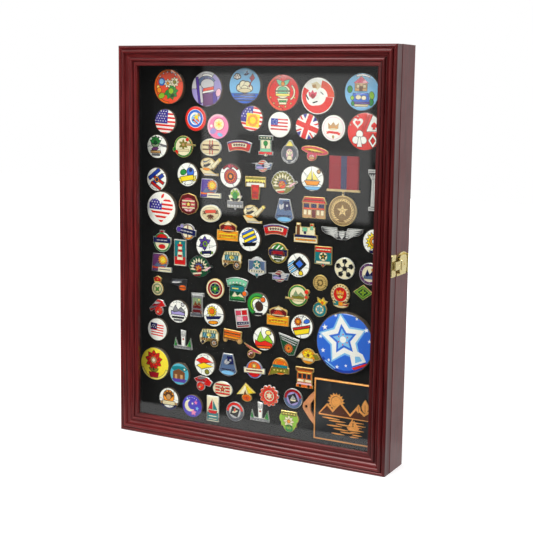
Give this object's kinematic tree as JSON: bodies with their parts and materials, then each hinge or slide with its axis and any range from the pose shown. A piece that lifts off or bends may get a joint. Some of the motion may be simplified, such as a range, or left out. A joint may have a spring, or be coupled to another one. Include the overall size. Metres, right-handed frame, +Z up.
{
  "type": "enamel pin display case",
  "caption": "Wall or shelf case with a hinged glazed door over black felt, holding a collection of enamel pins, button badges and a medal.",
  "frame": {"origin": "middle of the case's footprint on its underside, where it stands on a shelf", "axes": "+Z up the case, +X to the right seen from the front, -Y out of the glazed front"},
  "size_m": [0.3516, 0.053, 0.457],
  "materials": {
    "lacquered_wood": "gloss red-brown mahogany lacquer with fine straight grain",
    "black_felt": "matte black felt",
    "cork": "pressed cork and fibre board, edges only",
    "hardboard": "brown hardboard",
    "bare_wood": "unfinished softwood",
    "zinc_steel": "bright zinc plate",
    "polished_brass": "polished brass plate",
    "clear_glass": "clear float glass",
    "printed_badge": "printed tin badges under clear film, many colours",
    "white_badge": "white printed tin badges with small coloured motifs",
    "enamel": "enamel colours between fine gold and silver lines",
    "ribbon": "watered silk ribbon, crimson with one grey-blue stripe",
    "medal_bronze": "old gold bronze, lightly worn",
    "silver_plate": "silver plate with darkened recesses",
    "plaque_enamel": "dark field with copper relief and rim",
    "copper": "rose copper"
  },
  "bodies": {
    "case": {"case_top": "lacquered_wood", "case_bottom": "lacquered_wood", "case_left": "lacquered_wood", "case_right": "lacquered_wood", "liner_top": "black_felt", "liner_bottom": "black_felt", "liner_left": "black_felt", "liner_right": "black_felt", "felt_sheet": "black_felt", "pin_board": "cork", "back_panel": "hardboard", "panel_screws": "zinc_steel", "hanging_rail": "bare_wood", "hanger_left": "zinc_steel", "hanger_right": "zinc_steel", "hanger_screws": "zinc_steel", "hinge_case_leaf_lower": "polished_brass", "hinge_case_leaf_upper": "polished_brass", "hinge_pin_lower": "polished_brass", "hinge_pin_upper": "polished_brass", "hinge_case_screws": "polished_brass", "catch_base": "polished_brass", "catch_pin": "polished_brass", "catch_base_screws": "polished_brass", "stop_dots": "black_felt", "badges_large": "printed_badge", "badges_print": "printed_badge", "badges_white": "white_badge", "badge_grand": "printed_badge", "pins_round": "enamel", "pins_oval": "enamel", "pins_banner": "enamel", "pins_upright": "enamel", "pins_figure": "enamel", "pins_scene": "enamel", "medal_ribbon": "ribbon", "medal_bar": "medal_bronze", "medal_ring": "medal_bronze", "medal_disc": "medal_bronze", "pilot_wings": "silver_plate", "silver_column": "silver_plate", "plaque": "plaque_enamel", "plaque_loop": "copper"},
    "door": {"door_top": "lacquered_wood", "door_bottom": "lacquered_wood", "door_left": "lacquered_wood", "door_right": "lacquered_wood", "glazing_bead_top": "lacquered_wood", "glazing_bead_bottom": "lacquered_wood", "glazing_bead_left": "lacquered_wood", "glazing_bead_right": "lacquered_wood", "glass_pane": "clear_glass", "hinge_door_leaf_lower": "polished_brass", "hinge_door_leaf_upper": "polished_brass", "hinge_door_screws": "polished_brass", "catch_strike": "polished_brass", "strike_screws": "polished_brass"},
    "catch_lever": {"catch_lever": "polished_brass"}
  },
  "joints": [
    {"name": "door_hinge", "type": "hinge", "parent": "case", "child": "door", "pos_m": [-0.1737, -0.0105, 0.2285], "axis": [0, 0, -1], "range_deg": [0, 180]},
    {"name": "catch_hinge", "type": "hinge", "parent": "case", "child": "catch_lever", "pos_m": [0.1744, 0.0145, 0.2285], "axis": [0, 0, 1], "range_deg": [0, 90]}
  ]
}
